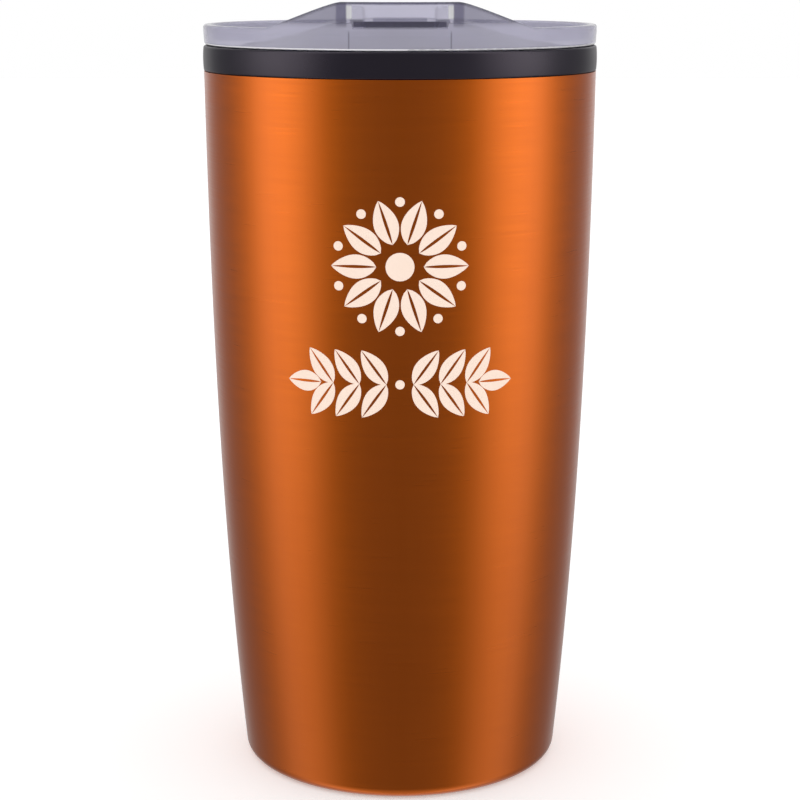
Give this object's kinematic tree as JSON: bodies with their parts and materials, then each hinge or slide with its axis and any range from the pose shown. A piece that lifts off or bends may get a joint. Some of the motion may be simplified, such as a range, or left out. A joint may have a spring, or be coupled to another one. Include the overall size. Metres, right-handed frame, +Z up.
{
  "type": "insulated tumbler with lid",
  "caption": "Tapered double-wall drinking tumbler with a dark rim band and a clear push-on lid that has a raised spout and a sliding stopper.",
  "frame": {"origin": "centre of the foot, on the surface the tumbler stands on", "axes": "+Z up along the tumbler's axis; the spout and drink slot face -Y; +X to the right seen from the spout side"},
  "size_m": [0.088, 0.088, 0.175],
  "materials": {
    "orange_steel": "translucent orange lacquer over brushed steel, glossy",
    "bare_steel": "spun, satin",
    "black_liner": "moulded, semi-gloss",
    "black_band": "moulded, satin gloss",
    "smoke_clear": "clear with a light smoke tint, polished",
    "silicone": "translucent silicone, matt",
    "print_ink": "screen-printed ink, satin"
  },
  "bodies": {
    "cup": {"outer_shell": "orange_steel", "base_disc": "bare_steel", "inner_liner": "black_liner", "liner_seal": "silicone", "rim_collar": "black_band"},
    "gasket": {"lid_gasket": "silicone"},
    "lid": {"lid_shell": "smoke_clear"},
    "slider": {"slide_tab": "smoke_clear", "slide_seal": "silicone", "slide_clip": "smoke_clear"}
  },
  "joints": [
    {"name": "lid_lift", "type": "slide", "parent": "cup", "child": "gasket", "axis": [0, 0, 1], "range_m": [0, 0.06]},
    {"name": "lid_turn", "type": "hinge", "parent": "gasket", "child": "lid", "pos_m": [0, 0, 0.165], "axis": [0, 0, 1], "continuous": true},
    {"name": "slider_slide", "type": "slide", "parent": "lid", "child": "slider", "axis": [0, 1, 0], "range_m": [0, 0.011]}
  ]
}
